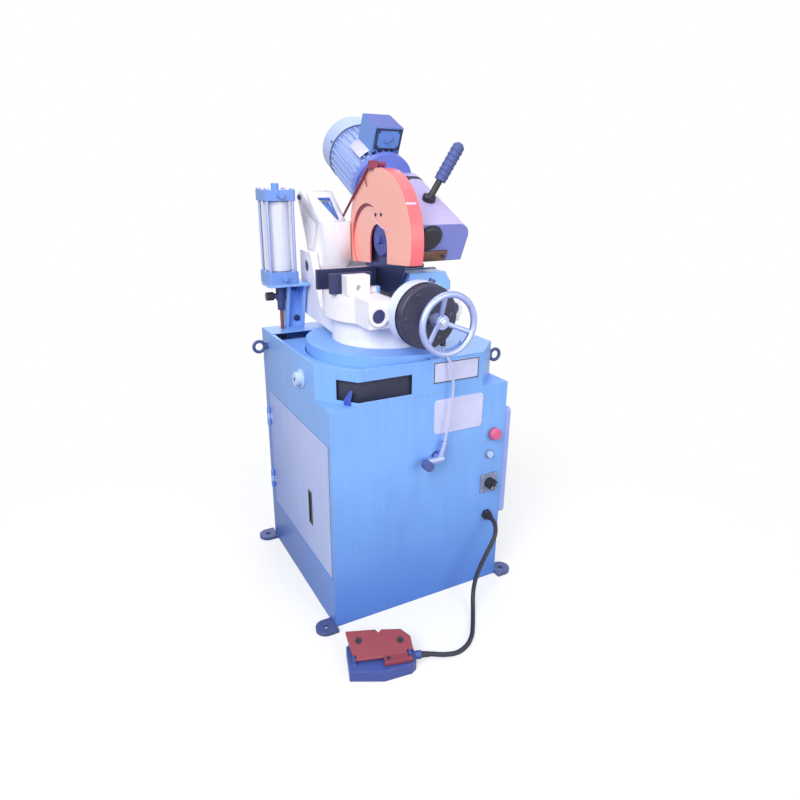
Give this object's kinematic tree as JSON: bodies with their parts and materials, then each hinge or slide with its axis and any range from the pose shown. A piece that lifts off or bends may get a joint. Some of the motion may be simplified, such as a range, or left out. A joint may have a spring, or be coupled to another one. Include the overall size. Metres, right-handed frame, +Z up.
{
  "type": "cold saw",
  "caption": "Cold saw with a tilting, swivelling circular-blade head, an air vise with handwheel, an oil tank and a foot switch on a sheet-metal cabinet stand with chip tray and door.",
  "frame": {"origin": "on the floor at the centre of the four anchor holes", "axes": "+X to the right of the operator, +Y to the back, +Z up"},
  "size_m": [0.7238, 1.0053, 1.4981],
  "materials": {
    "cabinet_blue": "semi-gloss enamel",
    "door_blue": "semi-gloss enamel",
    "cover_pale": "satin enamel",
    "plate_white": "smooth",
    "casting_cream": "cream paint over casting",
    "casting_blue": "blue paint over casting",
    "steel": "turned and bright",
    "blade_steel": "oxidised saw steel",
    "jaw_steel": "blackened",
    "flange_blue": "blue paint",
    "guard_orange": "gloss orange paint",
    "motor_blue": "grey-blue paint",
    "black_plastic": "matte",
    "black_cast": "black paint",
    "red_plastic": "moulded",
    "bronze": "dull bronze",
    "clear_tube": "clear tube",
    "cable_rubber": "matte",
    "hose_clear": "pale hose"
  },
  "bodies": {
    "stand": {"cabinet_shell": "cabinet_blue", "cabinet_side": "cabinet_blue", "chip_tray": "cabinet_blue", "plinth": "cabinet_blue", "anchor_ears": "cabinet_blue", "lifting_eyes": "steel", "tray_plug": "plate_white", "hinge_leaves": "steel", "electrical_cover": "cover_pale", "name_plates": "plate_white", "control_collars": "black_plastic", "cable_gland": "black_plastic", "foot_cable": "cable_rubber", "pedal_base": "cabinet_blue", "air_valve": "steel", "air_hose": "hose_clear", "tank_bracket": "cabinet_blue", "tank_caps": "cabinet_blue", "tank_tube": "clear_tube", "tank_rods": "steel", "flow_valve": "bronze", "coolant_supply": "motor_blue", "vise_bed": "casting_cream", "rear_jaws": "jaw_steel", "vise_cylinder": "black_cast", "guide_rods": "steel"},
    "turntable": {"turntable": "casting_cream", "pivot_shaft": "steel", "return_spring": "steel"},
    "head": {"head_arm": "casting_cream", "gear_housing": "casting_cream", "housing_cap": "black_plastic", "blade_guard": "guard_orange", "coolant_pipe": "bronze", "motor_body": "motor_blue", "fan_cowl": "motor_blue", "terminal_box": "motor_blue", "box_lid": "motor_blue", "handle_bar": "black_cast", "handle_grip": "black_plastic", "arbor_bearings": "steel"},
    "spindle": {"arbor": "steel", "worm_wheel": "bronze", "saw_blade": "blade_steel", "blade_flange": "flange_blue"},
    "worm": {"worm_shaft": "steel"},
    "handwheel": {"handwheel": "steel", "vise_screw": "steel"},
    "jaw": {"jaw_slide": "casting_blue", "left_carrier": "casting_cream", "right_carrier": "casting_blue", "front_jaws": "jaw_steel"},
    "door": {"door_panel": "door_blue", "door_pull": "black_plastic"},
    "stop": {"stop_button": "red_plastic"},
    "start": {"start_button": "plate_white"},
    "selector": {"selector_knob": "black_plastic"},
    "treadle": {"pedal_treadle": "red_plastic"},
    "flow": {"flow_knob": "black_plastic"},
    "air": {"air_knob": "black_plastic"}
  },
  "joints": [
    {"name": "head_swivel", "type": "hinge", "parent": "stand", "child": "turntable", "pos_m": [0, -0.03, 0.8283], "axis": [0, 0, 1], "range_deg": [-30, 0]},
    {"name": "head_tilt", "type": "hinge", "parent": "turntable", "child": "head", "pos_m": [0, 0.242, 1.0236], "axis": [1, 0, 0], "range_deg": [-30, 0], "deforming": ["return_spring"]},
    {"name": "blade_spin", "type": "hinge", "parent": "head", "child": "spindle", "pos_m": [0, -0.035, 1.1286], "axis": [1, 0, 0], "continuous": true},
    {"name": "worm_spin", "type": "hinge", "parent": "head", "child": "worm", "pos_m": [0.078, -0.066, 1.19359], "axis": [0, 0.9026, 0.4305], "continuous": true},
    {"name": "handwheel_turn", "type": "hinge", "parent": "stand", "child": "handwheel", "pos_m": [0, -0.4103, 0.9436], "axis": [0, 1, 0], "range_deg": [0, 3150]},
    {"name": "jaw_slide", "type": "slide", "parent": "stand", "child": "jaw", "axis": [0, 1, 0], "range_m": [0, 0.07]},
    {"name": "door_swing", "type": "hinge", "parent": "stand", "child": "door", "pos_m": [-0.306, 0.264, 0.381], "axis": [0, 0, 1], "range_deg": [-110, 0]},
    {"name": "stop_press", "type": "slide", "parent": "stand", "child": "stop", "axis": [0, 1, 0], "range_m": [0, 0.005], "stiffness_N_per_m": 1500},
    {"name": "start_press", "type": "slide", "parent": "stand", "child": "start", "axis": [0, 1, 0], "range_m": [0, 0.003], "stiffness_N_per_m": 1500},
    {"name": "selector_turn", "type": "hinge", "parent": "stand", "child": "selector", "pos_m": [0.249, -0.31, 0.371], "axis": [0, 1, 0], "range_deg": [-45, 45]},
    {"name": "treadle_press", "type": "hinge", "parent": "stand", "child": "treadle", "pos_m": [-0.25172, -0.52078, 0.044], "axis": [0.9511, -0.309, 0], "range_deg": [-8, 0], "stiffness_Nm_per_rad": 12, "springref_deg": 6.88},
    {"name": "flow_turn", "type": "hinge", "parent": "stand", "child": "flow", "pos_m": [-0.28, 0.251, 0.93], "axis": [1, 0, 0], "range_deg": [-180, 180]},
    {"name": "air_turn", "type": "hinge", "parent": "stand", "child": "air", "pos_m": [-0.013, -0.34, 0.5076], "axis": [0, 1, 0], "range_deg": [-90, 90]}
  ],
  "couplings": [
    {"joint": "worm_spin", "follows": "blade_spin", "ratio": 30},
    {"joint": "jaw_slide", "follows": "handwheel_turn", "m_per_rad": 0.0012732}
  ]
}
